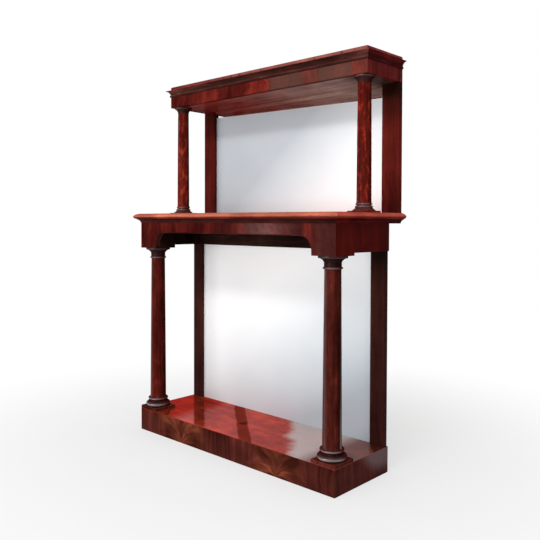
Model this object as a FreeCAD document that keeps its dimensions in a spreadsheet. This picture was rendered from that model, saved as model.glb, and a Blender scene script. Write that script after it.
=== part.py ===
import FreeCAD, Part
import math
import os
import Sketcher
from FreeCAD import Placement, Rotation, Vector

# A two-stage mahogany pier table with mirror backs, built as a cabinet maker builds it.
# +X runs to the right, +Y to the back and +Z up. The origin lies on the floor, under the
# middle of the whole piece. Depths below are counted back from the front face of the base.

DIMENSIONS = {
    # base carcass
    "base_width": 1016,
    "base_depth": 301,
    "base_height": 89.5,
    "base_board": 22,
    "base_top_thick": 18,
    "edge_round": 1.5,
    "base_bearer_width": 45,
    "bearer_offset": 170,
    # square blocks under and over the lower columns
    "foot_block_side": 99,
    "foot_block_thick": 11.5,
    "abacus_thick": 9,
    "block_arris": 1,
    # lower columns
    "lower_column_height": 658,
    "torus_height": 18.5,
    "torus_radius": 49.5,
    "torus_fillet": 1.5,
    "torus_fillet_radius": 41.5,
    "scotia_height": 7,
    "scotia_depth": 2.6,
    "ring_height": 10,
    "ring_radius": 40.5,
    "lower_foot_radius": 32,
    "lower_head_radius": 27.8,
    "lower_entasis": 0.2,
    "apophyge_radius": 4,
    "necking_height": 7,
    "necking_radius": 33,
    "neck_height": 15,
    "neck_radius": 29,
    "bell_height": 13,
    "bell_radius": 44,
    "bell_hollow": 2.2,
    "lower_disc_thick": 8,
    "lower_disc_radius": 49,
    "lower_disc_round": 4,
    "tenon_radius": 12,
    "tenon_clearance": 0.15,
    "head_tenon_depth": 30,
    # posts and mirror backs
    "post_thick": 20,
    "lower_post_width": 57,
    "lower_post_inset": 5,
    "upper_post_width": 70,
    "glass_rebate": 8,
    "board_rebate": 20,
    "rebate_play": 0.5,
    "glass_thick": 3.5,
    "backboard_thick": 6,
    "screw_radius": 1.8,
    "screw_head_radius": 3.6,
    "screw_head_height": 2.2,
    "screw_length": 18,
    "screw_end_margin": 60,
    # middle frieze, with its arched apron
    "frieze_height": 95,
    "frieze_board": 22,
    "apron_depth": 38,
    "arch_radius": 51,
    "apron_bead_thick": 3,
    "apron_bead_stand": 1.5,
    "apron_bead_round": 1.3,
    "frieze_bearer_height": 25,
    "frieze_bearer_width": 45,
    # table top: coved under-frame, board and thumb-moulded lippings
    "top_frame_thick": 15,
    "top_frame_width": 58,
    "cove_fillet": 1.5,
    "cove_reach": 12,
    "cove_hollow": 2,
    "cove_lip": 1,
    "cove_lip_height": 2,
    "table_board_thick": 22,
    "nosing_overhang": 25,
    "nosing_lap": 9,
    "nosing_round": 10.3,
    "nosing_under": 11.5,
    "nosing_fullness": 2.2,
    "nosing_flat": 2,
    # upper stage
    "upper_side_step": 4,
    "upper_depth": 212.5,
    "top_rear_overhang": 71,
    "upper_column_inset": 37.5,
    "upper_plinth_side": 81,
    "upper_plinth_thick": 5.5,
    "upper_column_height": 452,
    "foot_bell_height": 10,
    "foot_bell_radius": 40,
    "foot_bell_waist": 30,
    "foot_bell_edge": 1.5,
    "foot_bell_hollow": 1,
    "foot_ring_height": 7,
    "foot_ring_radius": 30.5,
    "foot_groove_height": 1.8,
    "foot_bead_height": 7.5,
    "foot_bead_radius": 28.2,
    "upper_foot_radius": 25.2,
    "upper_head_radius": 22.8,
    "upper_entasis": 0.2,
    "upper_bell_height": 18,
    "upper_bell_radius": 31.5,
    "upper_disc_thick": 7,
    "upper_disc_radius": 36.2,
    "upper_tenon_radius": 9,
    "soffit_bead_radius": 9,
    # upper frieze and cornice
    "upper_frieze_height": 45,
    "upper_frieze_board": 20,
    "soffit_thick": 8,
    "cornice_height": 27.5,
    "cornice_width": 42,
    "astragal_height": 10,
    "astragal_seat": 2,
    "astragal_swell": 2,
    "cornice_groove": 1.5,
    "cornice_cove_height": 14,
    "cornice_cove_reach": 13.5,
    "cornice_cove_hollow": 3,
    "cornice_lip": 1,
    "cornice_board_thick": 17,
    "cornice_board_round": 5,
    # softwood glue blocks
    "glue_block_side": 22,
}

GAP = 0.5          # how far a cutting outline runs past the wood it cuts
QUARTER_TURN = 90


class Size:
    """A length: its number, and the same sum written for the document's expressions."""

    def __init__(self, value, text):
        self.value = float(value)
        self.text = text

    def __add__(self, other):
        other = as_size(other)
        return Size(self.value + other.value, f"({self.text} + {other.text})")

    def __sub__(self, other):
        other = as_size(other)
        return Size(self.value - other.value, f"({self.text} - {other.text})")

    def __mul__(self, other):
        other = as_size(other)
        return Size(self.value * other.value, f"({self.text} * {other.text})")

    def __truediv__(self, other):
        other = as_size(other)
        return Size(self.value / other.value, f"({self.text} / {other.text})")

    def __neg__(self):
        return Size(-self.value, f"(0 - {self.text})")

    def __radd__(self, other):
        return as_size(other) + self

    def __rsub__(self, other):
        return as_size(other) - self

    def __rmul__(self, other):
        return as_size(other) * self


def as_size(number):
    return number if isinstance(number, Size) else Size(number, f"{number:g}")


doc = FreeCAD.newDocument("pier_table")
sheet = doc.addObject("Spreadsheet::Sheet", "Sizes")
for row, (alias, number) in enumerate(DIMENSIONS.items(), start=1):
    sheet.set(f"A{row}", alias)
    sheet.set(f"B{row}", f"{number:g}")
    sheet.setAlias(f"B{row}", alias)
doc.recompute()

S = {alias: Size(number, f"Sizes.{alias}") for alias, number in DIMENSIONS.items()}
nodes = []


# ---------------------------------------------------------------- drawing helpers

def bind(thing, prop, size):
    """Ties a property to the sheet."""
    thing.setExpression(prop, size.text)


def place(thing, x, y, z, turn=0):
    """Puts a piece at x, y, z, turned about the vertical."""
    x, y, z = as_size(x), as_size(y), as_size(z)
    thing.Placement = Placement(Vector(x.value, y.value, z.value), Rotation(Vector(0, 0, 1), turn))
    for axis, size in zip("xyz", (x, y, z)):
        bind(thing, f"Placement.Base.{axis}", size)


def new_body(label, x, y, z, turn=0):
    body = doc.addObject("PartDesign::Body", label)
    body.Label = label
    place(body, x, y, z, turn)
    nodes.append(body)
    return body


def new_sketch(body, name, role, lift=0):
    """A sketch on one of the body's own origin planes, lifted along the plane's normal."""
    sketch = body.newObject("Sketcher::SketchObject", name)
    plane = next(item for item in body.Origin.OriginFeatures if item.Role == role)
    sketch.AttachmentSupport = [(plane, "")]
    sketch.MapMode = "FlatFace"
    lift = as_size(lift)
    if lift.value:
        sketch.AttachmentOffset = Placement(Vector(0, 0, lift.value), Rotation())
        bind(sketch, "AttachmentOffset.Base.z", lift)
    return sketch


class Line:
    """A straight step of an outline, to x, y."""

    def __init__(self, x, y):
        self.x, self.y = as_size(x), as_size(y)


class Arc:
    """A round step of an outline, to x, y, about a centre or with a radius.

    It turns to the left of its way unless left is False."""

    def __init__(self, x, y, centre=None, radius=None, left=True):
        self.x, self.y = as_size(x), as_size(y)
        self.centre = centre and tuple(as_size(c) for c in centre)
        self.radius = None if radius is None else as_size(radius)
        self.left = left

    def middle(self, start):
        """The arc's centre, as numbers."""
        if self.centre:
            return self.centre[0].value, self.centre[1].value
        dx, dy = self.x.value - start[0], self.y.value - start[1]
        chord = math.hypot(dx, dy)
        reach = math.sqrt(max(self.radius.value ** 2 - chord ** 2 / 4, 0))
        side = 1 if self.left else -1
        return ((start[0] + self.x.value) / 2 - side * reach * dy / chord,
                (start[1] + self.y.value) / 2 + side * reach * dx / chord)


def outline(sketch, *steps):
    """Draws a closed outline through the steps, and dimensions every corner from the origin."""
    first_geometry = sketch.GeometryCount
    ends = []
    for number, step in enumerate(steps):
        before = steps[number - 1]
        start = (before.x.value, before.y.value)
        end = (step.x.value, step.y.value)
        if isinstance(step, Line):
            sketch.addGeometry(Part.LineSegment(Vector(*start, 0), Vector(*end, 0)), False)
            ends.append((1, 2))
            continue
        cx, cy = step.middle(start)
        circle = Part.Circle(Vector(cx, cy, 0), Vector(0, 0, 1), math.hypot(end[0] - cx, end[1] - cy))
        from_angle = math.atan2(start[1] - cy, start[0] - cx)
        to_angle = math.atan2(end[1] - cy, end[0] - cx)
        if not step.left:
            from_angle, to_angle = to_angle, from_angle
        if to_angle <= from_angle:
            to_angle += 2 * math.pi
        sketch.addGeometry(Part.ArcOfCircle(circle, from_angle, to_angle), False)
        ends.append((1, 2) if step.left else (2, 1))

    rules = []
    sizes = []

    def dimension(kind, geometry, point, size):
        if size.text == "0":
            axis = -2 if kind == "DistanceX" else -1
            rules.append(Sketcher.Constraint("PointOnObject", geometry, point, axis))
            sizes.append(None)
        else:
            rules.append(Sketcher.Constraint(kind, -1, 1, geometry, point, size.value))
            sizes.append(size)

    for number, step in enumerate(steps):
        geometry = first_geometry + number
        after = (number + 1) % len(steps)
        rules.append(Sketcher.Constraint("Coincident", geometry, ends[number][1],
                                         first_geometry + after, ends[after][0]))
        sizes.append(None)
        dimension("DistanceX", geometry, ends[number][1], step.x)
        dimension("DistanceY", geometry, ends[number][1], step.y)
        if isinstance(step, Line):
            continue
        before = steps[number - 1]
        if step.centre is None:
            rules.append(Sketcher.Constraint("Radius", geometry, step.radius.value))
            sizes.append(step.radius)
        elif abs(step.x.value - before.x.value) < abs(step.y.value - before.y.value):
            dimension("DistanceX", geometry, 3, step.centre[0])
        else:
            dimension("DistanceY", geometry, 3, step.centre[1])
    tie(sketch, rules, sizes)


def circle(sketch, x, y, radius):
    """Draws a circle, dimensioned from the origin."""
    x, y, radius = as_size(x), as_size(y), as_size(radius)
    geometry = sketch.addGeometry(
        Part.Circle(Vector(x.value, y.value, 0), Vector(0, 0, 1), radius.value), False)
    rules = [Sketcher.Constraint("Radius", geometry, radius.value)]
    sizes = [radius]
    for kind, size, axis in (("DistanceX", x, -2), ("DistanceY", y, -1)):
        if size.text == "0":
            rules.append(Sketcher.Constraint("PointOnObject", geometry, 3, axis))
            sizes.append(None)
        else:
            rules.append(Sketcher.Constraint(kind, -1, 1, geometry, 3, size.value))
            sizes.append(size)
    tie(sketch, rules, sizes)


def tie(sketch, rules, sizes):
    """Adds constraints, names those that hold a size, and binds them to the sheet."""
    first = sketch.ConstraintCount
    sketch.addConstraint(rules)
    for number, size in enumerate(sizes):
        if size is None:
            continue
        name = f"size_{first + number}"
        sketch.renameConstraint(first + number, name)
        if "Sizes." in size.text:
            bind(sketch, f"Constraints.{name}", size)


def rectangle(sketch, x0, y0, x1, y1):
    outline(sketch, Line(x0, y0), Line(x1, y0), Line(x1, y1), Line(x0, y1))


def pad(body, sketch, length, name="Pad", reverse=False):
    feature = body.newObject("PartDesign::Pad", name)
    feature.Profile = sketch
    feature.Length = as_size(length).value
    bind(feature, "Length", as_size(length))
    feature.Reversed = reverse
    sketch.Visibility = False
    return feature


def pocket_through(body, sketch, name="Pocket"):
    """Cuts right through the body, both ways from the sketch."""
    feature = body.newObject("PartDesign::Pocket", name)
    feature.Profile = sketch
    feature.Type = "ThroughAll"
    feature.Midplane = True
    sketch.Visibility = False
    return feature


def pocket(body, sketch, depth, name="Pocket", reverse=False):
    feature = body.newObject("PartDesign::Pocket", name)
    feature.Profile = sketch
    feature.Length = as_size(depth).value
    bind(feature, "Length", as_size(depth))
    feature.Reversed = reverse
    sketch.Visibility = False
    return feature


def turn_solid(body, sketch):
    """Turns a half profile, drawn in the XZ plane, about the vertical axis."""
    feature = body.newObject("PartDesign::Revolution", "Turning")
    feature.Profile = sketch
    feature.ReferenceAxis = (sketch, ["V_Axis"])
    feature.Angle = 360
    sketch.Visibility = False
    return feature


def soften(body, feature, radius, wanted, name="Softened_edges"):
    """Rounds those edges of the feature whose middle point is wanted."""
    doc.recompute()
    picked = []
    for number, edge in enumerate(feature.Shape.Edges, start=1):
        middle = edge.valueAt((edge.FirstParameter + edge.LastParameter) / 2)
        if wanted(middle):
            picked.append(f"Edge{number}")
    fillet = body.newObject("PartDesign::Fillet", name)
    fillet.Base = (feature, picked)
    fillet.Radius = as_size(radius).value
    bind(fillet, "Radius", as_size(radius))
    return fillet


def board(label, x, y, z, width, depth, height):
    """A plain board with its low corner at x, y, z."""
    body = new_body(label, x, y, z)
    sketch = new_sketch(body, "Plan", "XY_Plane")
    rectangle(sketch, 0, 0, width, depth)
    pad(body, sketch, height)
    return body


def group(label, members):
    """Separate identical pieces kept together as one sub-part."""
    bundle = doc.addObject("Part::Compound", label)
    bundle.Label = label
    bundle.Links = members
    nodes.append(bundle)
    return bundle


def loose_box(name, x, y, z, length, width, height):
    box = doc.addObject("Part::Box", name)
    for prop, size in (("Length", length), ("Width", width), ("Height", height)):
        setattr(box, prop, as_size(size).value)
        bind(box, prop, as_size(size))
    place(box, x, y, z)
    return box


# ---------------------------------------------------------------- levels and lines

half_base = S["base_width"] / 2
half_upper = half_base + S["upper_side_step"]
upper_back = S["base_depth"] + S["top_rear_overhang"]
upper_front = upper_back - S["upper_depth"]
front = (S["nosing_overhang"] - upper_back) / 2
rebate_depth = S["glass_thick"] + S["backboard_thick"]
screw_inset = (S["glass_rebate"] + S["board_rebate"]) / 2

foot_block_top = S["base_height"] + S["foot_block_thick"]
abacus_bottom = foot_block_top + S["lower_column_height"]
frieze_bottom = abacus_bottom + S["abacus_thick"]
frieze_top = frieze_bottom + S["frieze_height"]
board_bottom = frieze_top + S["top_frame_thick"]
table_height = board_bottom + S["table_board_thick"]
upper_plinth_top = table_height + S["upper_plinth_thick"]
upper_frieze_bottom = upper_plinth_top + S["upper_column_height"]
upper_frieze_top = upper_frieze_bottom + S["upper_frieze_height"]
cornice_top = upper_frieze_top + S["cornice_height"]
total_height = cornice_top + S["cornice_board_thick"]

lower_post_front = S["base_depth"] - S["post_thick"]
SIDES = (("left", -1), ("right", 1))


def back_from_front(depth):
    """The Y of a line that lies so far behind the front face of the base."""
    return front + depth


# ---------------------------------------------------------------- frames with mitred corners

def mitred_front(label, half_width, depth_line, z, thick, height, shape=None):
    """A front board whose ends are mitred, drawn in elevation where it has a shape."""
    body = new_body(label, -half_width, back_from_front(depth_line), z)
    width = half_width * 2
    if shape is None:
        sketch = new_sketch(body, "Plan", "XY_Plane")
        outline(sketch, Line(0, 0), Line(width, 0), Line(width - thick, thick), Line(thick, thick))
        pad(body, sketch, height)
        return body
    sketch = new_sketch(body, "Elevation", "XZ_Plane")
    outline(sketch, *shape(width, height))
    pad(body, sketch, thick, reverse=True)
    cutter = new_sketch(body, "Mitres", "XY_Plane")
    outline(cutter, Line(-GAP, -GAP), Line(thick + GAP, thick + GAP), Line(-GAP, thick + GAP))
    outline(cutter, Line(width + GAP, -GAP), Line(width + GAP, thick + GAP),
            Line(width - thick - GAP, thick + GAP))
    pocket_through(body, cutter, "Mitred_ends")
    return body


def mitred_end(label, sign, half_width, depth_line, z, thick, depth, height):
    """An end board, mitred to the front board at its forward end."""
    body = new_body(label, half_width * sign, back_from_front(depth_line), z)
    sketch = new_sketch(body, "Plan", "XY_Plane")
    inner = thick * -sign
    outline(sketch, Line(0, 0), Line(inner, thick), Line(inner, depth), Line(0, depth))
    pad(body, sketch, height)
    return body


def moulding_run(label, x, y, z, turn, length, reach, back, profile, mitre_start, mitre_end):
    """A length of moulding along its own X, facing its own -Y, with mitred ends.

    The profile is drawn in the YZ plane. Its foremost point lies at -reach, its back at back."""
    body = new_body(label, x, y, z, turn)
    sketch = new_sketch(body, "Section", "YZ_Plane")
    outline(sketch, *profile)
    pad(body, sketch, length)
    if not (mitre_start or mitre_end):
        return body
    cutter = new_sketch(body, "Mitres", "XY_Plane")
    if mitre_start:
        outline(cutter, Line(-GAP, -reach - GAP), Line(reach + back + GAP, back + GAP),
                Line(-GAP, back + GAP))
    if mitre_end:
        outline(cutter, Line(length + GAP, -reach - GAP), Line(length + GAP, back + GAP),
                Line(length - reach - back - GAP, back + GAP))
    pocket_through(body, cutter, "Mitred_ends")
    return body


def moulding_frame(stem, half_width, front_line, back_line, z, reach, back, profile):
    """Mitred mouldings round the front and both sides of a rectangle."""
    span = (half_width + reach) * 2
    run = back_line - front_line + reach
    moulding_run(f"{stem}_front", -half_width - reach, back_from_front(front_line), z, 0,
                 span, reach, back, profile, True, True)
    moulding_run(f"{stem}_left", -half_width, back_from_front(back_line), z, -QUARTER_TURN,
                 run, reach, back, profile, False, True)
    moulding_run(f"{stem}_right", half_width, back_from_front(front_line) - reach, z, QUARTER_TURN,
                 run, reach, back, profile, True, False)


# ---------------------------------------------------------------- base

def build_base():
    board_height = S["base_height"] - S["base_top_thick"]
    thick = S["base_board"]
    mitred_front("base_front_board", half_base, 0, 0, thick, board_height)
    for side, sign in SIDES:
        mitred_end(f"base_{side}_end", sign, half_base, 0, 0, thick, S["base_depth"], board_height)
    board("base_back_rail", thick - half_base, back_from_front(S["base_depth"] - thick), 0,
          S["base_width"] - thick * 2, thick, board_height)

    bearers = []
    bearer_depth = S["base_depth"] - thick * 2
    for side, sign in SIDES:
        x = S["bearer_offset"] * sign - S["base_bearer_width"] / 2
        bearers.append(loose_box(f"base_bearer_{side}", x, back_from_front(thick),
                                 board_height - thick, S["base_bearer_width"], bearer_depth, thick))
    group("base_bearers", bearers)

    top = new_body("base_top_board", -half_base, back_from_front(0), board_height)
    sketch = new_sketch(top, "Plan", "XY_Plane")
    rectangle(sketch, 0, 0, S["base_width"], S["base_depth"])
    slab = pad(top, sketch, S["base_top_thick"])
    last_y = S["base_depth"].value
    top_z = S["base_top_thick"].value
    soften(top, slab, S["edge_round"],
           lambda middle: middle.z > top_z - GAP and middle.y < last_y - GAP)
    bores = new_sketch(top, "Column_bores", "XY_Plane")
    inset = S["foot_block_side"] / 2
    for x in (inset, S["base_width"] - inset):
        circle(bores, x, inset, S["tenon_radius"] + S["tenon_clearance"])
    pocket_through(top, bores, "Bored_for_tenons")


# ---------------------------------------------------------------- columns

def block_with_bore(label, x, y, z, side, thick, bore, arris=None):
    """A square block with a round bore for the column's tenon, its upper edges eased by an arris."""
    body = new_body(label, x, y, z)
    sketch = new_sketch(body, "Plan", "XY_Plane")
    rectangle(sketch, -side / 2, -side / 2, side / 2, side / 2)
    circle(sketch, 0, 0, bore)
    slab = pad(body, sketch, thick)
    if arris is not None:
        half_side = (side / 2).value
        soften(body, slab, arris, lambda middle: middle.z > GAP
               and max(abs(middle.x), abs(middle.y)) > half_side - GAP, "Eased_edges")
    return body


def turned(label, x, y, z, *profile):
    """A turned piece, from its half profile."""
    body = new_body(label, x, y, z)
    sketch = new_sketch(body, "Half_profile", "XZ_Plane")
    outline(sketch, *profile)
    turn_solid(body, sketch)
    return body


def swell_radius(chord, rise):
    """The radius of a shallow arc over a chord, with its rise at the middle."""
    return (chord * chord / 4 + rise * rise) / (rise * 2)


def slant_radius(along, aside, rise):
    """The radius of a shallow arc between two points so far apart each way, with its rise at the middle."""
    return (along * along / 4 + aside * aside / 4 + rise * rise) / (rise * 2)


def tangent_radius(along, aside):
    """The radius of an arc that sets out straight along one way and ends so far to the side."""
    return (along * along + aside * aside) / (aside * 2)


def column_shaft(label, x, y, z, length, foot, head, swell, tenon, down, up):
    """A shaft with a swelling taper, a small spread at its foot and a tenon at each end."""
    spread = S["apophyge_radius"]
    return turned(
        label, x, y, z,
        Line(0, -down), Line(tenon, -down), Line(tenon, 0), Line(foot + spread / 2, 0),
        Arc(foot, spread, radius=tangent_radius(spread, spread / 2), left=False),
        Arc(head, length, radius=swell_radius(length - spread, swell)),
        Line(tenon, length), Line(tenon, length + up), Line(0, length + up))


def build_lower_column(side, sign):
    x = (half_base - S["foot_block_side"] / 2) * sign
    y = back_from_front(S["foot_block_side"] / 2)
    tenon = S["tenon_radius"]
    bore = tenon + S["tenon_clearance"]
    stem = f"lower_{side}"

    block_with_bore(f"{stem}_plinth_block", x, y, S["base_height"],
                    S["foot_block_side"], S["foot_block_thick"], bore, S["block_arris"])

    # attic base: torus and its fillet, hollow scotia and upper ring
    torus_bulge = S["torus_height"] / 2
    torus_seat = S["torus_radius"] - torus_bulge
    fillet_top = S["torus_height"] + S["torus_fillet"]
    ring_bulge = S["ring_height"] / 2
    ring_seat = S["ring_radius"] - ring_bulge
    ring_bottom = fillet_top + S["scotia_height"]
    base_height = ring_bottom + S["ring_height"]
    turned(f"{stem}_column_base", x, y, foot_block_top,
           Line(bore, 0), Line(torus_seat, 0),
           Arc(torus_seat, S["torus_height"], centre=(torus_seat, torus_bulge)),
           Line(S["torus_fillet_radius"], S["torus_height"]),
           Line(S["torus_fillet_radius"], fillet_top),
           Line(ring_seat, fillet_top),
           Arc(ring_seat, ring_bottom, left=False,
               radius=swell_radius(S["scotia_height"], S["scotia_depth"])),
           Arc(ring_seat, base_height, centre=(ring_seat, ring_bottom + ring_bulge)),
           Line(bore, base_height))

    capital_height = S["necking_height"] + S["neck_height"] + S["bell_height"] + S["lower_disc_thick"]
    length = S["lower_column_height"] - base_height - capital_height
    column_shaft(f"{stem}_column_shaft", x, y, foot_block_top + base_height, length,
                 S["lower_foot_radius"], S["lower_head_radius"], S["lower_entasis"], tenon,
                 base_height + S["foot_block_thick"] + S["base_top_thick"],
                 capital_height + S["abacus_thick"] + S["head_tenon_depth"])

    # capital: necking ring, neck, hollow bell and a disc with a round lower edge
    necking_bulge = S["necking_height"] / 2
    necking_seat = S["necking_radius"] - necking_bulge
    neck_top = S["necking_height"] + S["neck_height"]
    bell_top = neck_top + S["bell_height"]
    disc_seat = S["lower_disc_radius"] - S["lower_disc_round"]
    turned(f"{stem}_capital", x, y, abacus_bottom - capital_height,
           Line(bore, 0), Line(necking_seat, 0),
           Arc(necking_seat, S["necking_height"], centre=(necking_seat, necking_bulge)),
           Line(S["neck_radius"], S["necking_height"]),
           Line(S["neck_radius"], neck_top),
           Arc(S["bell_radius"], bell_top, left=False,
               radius=slant_radius(S["bell_height"], S["bell_radius"] - S["neck_radius"],
                                   S["bell_hollow"])),
           Line(disc_seat, bell_top),
           Arc(S["lower_disc_radius"], bell_top + S["lower_disc_round"],
               centre=(disc_seat, bell_top + S["lower_disc_round"])),
           Line(S["lower_disc_radius"], capital_height),
           Line(bore, capital_height))

    block_with_bore(f"{stem}_abacus", x, y, abacus_bottom,
                    S["foot_block_side"], S["abacus_thick"], bore)


def build_upper_column(side, sign):
    x = (half_upper - S["upper_column_inset"]) * sign
    y = back_from_front(upper_front + S["upper_column_inset"])
    tenon = S["upper_tenon_radius"]
    bore = tenon + S["tenon_clearance"]
    stem = f"upper_{side}"

    block_with_bore(f"{stem}_plinth_block", x, y, table_height,
                    S["upper_plinth_side"], S["upper_plinth_thick"], bore, S["block_arris"])

    # base: spreading bell, ring, groove and bead
    ring_bottom = S["foot_bell_height"]
    ring_top = ring_bottom + S["foot_ring_height"]
    ring_bulge = S["foot_ring_height"] / 2
    ring_seat = S["foot_ring_radius"] - ring_bulge
    bead_bottom = ring_top + S["foot_groove_height"]
    base_height = bead_bottom + S["foot_bead_height"]
    bead_bulge = S["foot_bead_height"] / 2
    bead_seat = S["foot_bead_radius"] - bead_bulge
    turned(f"{stem}_column_base", x, y, upper_plinth_top,
           Line(bore, 0), Line(S["foot_bell_radius"], 0),
           Line(S["foot_bell_radius"], S["foot_bell_edge"]),
           Arc(S["foot_bell_waist"], ring_bottom, left=False,
               radius=slant_radius(S["foot_bell_radius"] - S["foot_bell_waist"],
                                   ring_bottom - S["foot_bell_edge"], S["foot_bell_hollow"])),
           Line(ring_seat, ring_bottom),
           Arc(ring_seat, ring_top, centre=(ring_seat, ring_bottom + ring_bulge)),
           Line(bead_seat, ring_top),
           Line(bead_seat, bead_bottom),
           Arc(bead_seat, base_height, centre=(bead_seat, bead_bottom + bead_bulge)),
           Line(bore, base_height))

    capital_height = S["upper_bell_height"] + S["upper_disc_thick"]
    length = S["upper_column_height"] - base_height - capital_height
    column_shaft(f"{stem}_column_shaft", x, y, upper_plinth_top + base_height, length,
                 S["upper_foot_radius"], S["upper_head_radius"], S["upper_entasis"], tenon,
                 base_height + S["upper_plinth_thick"], capital_height + S["soffit_thick"])

    # capital: hollow bell and round-edged disc
    disc_bulge = S["upper_disc_thick"] / 2
    disc_seat = S["upper_disc_radius"] - disc_bulge
    turned(f"{stem}_capital", x, y, upper_frieze_bottom - capital_height,
           Line(bore, 0), Line(S["upper_head_radius"], 0),
           Arc(S["upper_bell_radius"], S["upper_bell_height"], left=False,
               radius=tangent_radius(S["upper_bell_height"],
                                     S["upper_bell_radius"] - S["upper_head_radius"])),
           Line(disc_seat, S["upper_bell_height"]),
           Arc(disc_seat, capital_height, centre=(disc_seat, S["upper_bell_height"] + disc_bulge)),
           Line(bore, capital_height))


# ---------------------------------------------------------------- posts, glass and backboards

def screw_levels(low, high):
    """Three levels for the screws of one backboard."""
    return (low + S["screw_end_margin"], (low + high) / 2, high - S["screw_end_margin"])


def rear_post(label, sign, outer, back_line, z, width, height, levels):
    """A flat post. Its inner edge is rebated at the back twice: for the glass, and wider for its board."""
    thick = S["post_thick"]
    body = new_body(label, outer * sign, back_from_front(back_line) - thick, z)
    sketch = new_sketch(body, "Plan", "XY_Plane")
    inner = width * -sign
    glass_step = (width - S["glass_rebate"]) * -sign
    board_step = (width - S["board_rebate"]) * -sign
    sight = thick - rebate_depth
    outline(sketch, Line(0, 0), Line(inner, 0), Line(inner, sight), Line(glass_step, sight),
            Line(glass_step, thick - S["backboard_thick"]),
            Line(board_step, thick - S["backboard_thick"]), Line(board_step, thick), Line(0, thick))
    pad(body, sketch, height)
    holes = new_sketch(body, "Screw_holes", "XZ_Plane", S["backboard_thick"] - thick)
    for level in levels:
        circle(holes, (width - screw_inset) * -sign, level - z, S["screw_radius"])
    pocket(body, holes, S["screw_length"] - S["backboard_thick"], "Screw_pockets", reverse=True)
    return body


def wood_screw(name, x, y, z):
    """A countersunk screw that points forward, with its head flush at y."""
    head = doc.addObject("Part::Cone", f"{name}_head")
    shank = doc.addObject("Part::Cylinder", f"{name}_shank")
    for prop, size in (("Radius1", S["screw_head_radius"]), ("Radius2", S["screw_radius"]),
                       ("Height", S["screw_head_height"])):
        bind(head, prop, size)
    for prop, size in (("Radius", S["screw_radius"]), ("Height", S["screw_length"])):
        bind(shank, prop, size)
    for piece in (head, shank):
        piece.Placement = Placement(Vector(x.value, y.value, z.value),
                                    Rotation(Vector(1, 0, 0), QUARTER_TURN))
        for axis, size in zip("xyz", (x, y, z)):
            bind(piece, f"Placement.Base.{axis}", size)
    screw = doc.addObject("Part::Fuse", name)
    screw.Base = head
    screw.Tool = shank
    return screw


def build_mirror_back(stage, outer, width, back_line, low, high):
    """The posts, glass and backboard of one stage. Returns its screws."""
    levels = screw_levels(low, high)
    back = back_from_front(back_line)
    screws = []
    for side, sign in SIDES:
        rear_post(f"{stage}_{side}_rear_post", sign, outer, back_line, low, width, high - low, levels)
        for number, level in enumerate(levels, start=1):
            screws.append(wood_screw(f"{stage}_{side}_screw_{number}",
                                     (outer - width + screw_inset) * sign, back, level))

    glass_edge = outer - width + S["glass_rebate"] - S["rebate_play"]
    board(f"{stage}_mirror_plate", -glass_edge, back - rebate_depth, low, glass_edge * 2,
          S["glass_thick"], high + S["glass_rebate"] - S["rebate_play"] - low)

    board_edge = outer - width + S["board_rebate"] - S["rebate_play"]
    blank = loose_box(f"{stage}_backboard_blank", -board_edge, back - S["backboard_thick"], low,
                      board_edge * 2, S["backboard_thick"],
                      high + S["board_rebate"] - S["rebate_play"] - low)
    holes = doc.addObject("Part::Compound", f"{stage}_backboard_holes")
    holes.Links = screws
    drilled = doc.addObject("Part::Cut", f"{stage}_mirror_backboard")
    drilled.Label = f"{stage}_mirror_backboard"
    drilled.Base = blank
    drilled.Tool = holes
    nodes.append(drilled)
    return screws


def rebated_rail(label, half_width, back_line, z, height):
    """A rail over the glass, as thick as the posts and rebated like them along its lower edge."""
    thick = S["post_thick"]
    body = new_body(label, -half_width, back_from_front(back_line) - thick, z)
    sight = thick - rebate_depth
    sketch = new_sketch(body, "Section", "YZ_Plane")
    outline(sketch, Line(0, 0), Line(sight, 0), Line(sight, S["glass_rebate"]),
            Line(thick - S["backboard_thick"], S["glass_rebate"]),
            Line(thick - S["backboard_thick"], S["board_rebate"]),
            Line(thick, S["board_rebate"]), Line(thick, height), Line(0, height))
    pad(body, sketch, half_width * 2)
    return body


# ---------------------------------------------------------------- middle frieze

def apron_shape(width, height):
    """The apron in elevation: a leg at each end, and an opening with round upper corners."""
    leg = S["foot_block_side"] - S["apron_bead_thick"]
    crown = height - S["apron_depth"]
    spring = crown - S["arch_radius"]
    round_end = leg + S["arch_radius"]
    return (Line(0, height), Line(0, 0), Line(leg, 0), Line(leg, spring),
            Arc(round_end, crown, centre=(round_end, spring), left=False),
            Line(width - round_end, crown),
            Arc(width - leg, spring, centre=(width - round_end, spring), left=False),
            Line(width - leg, 0), Line(width, 0), Line(width, height))


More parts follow.
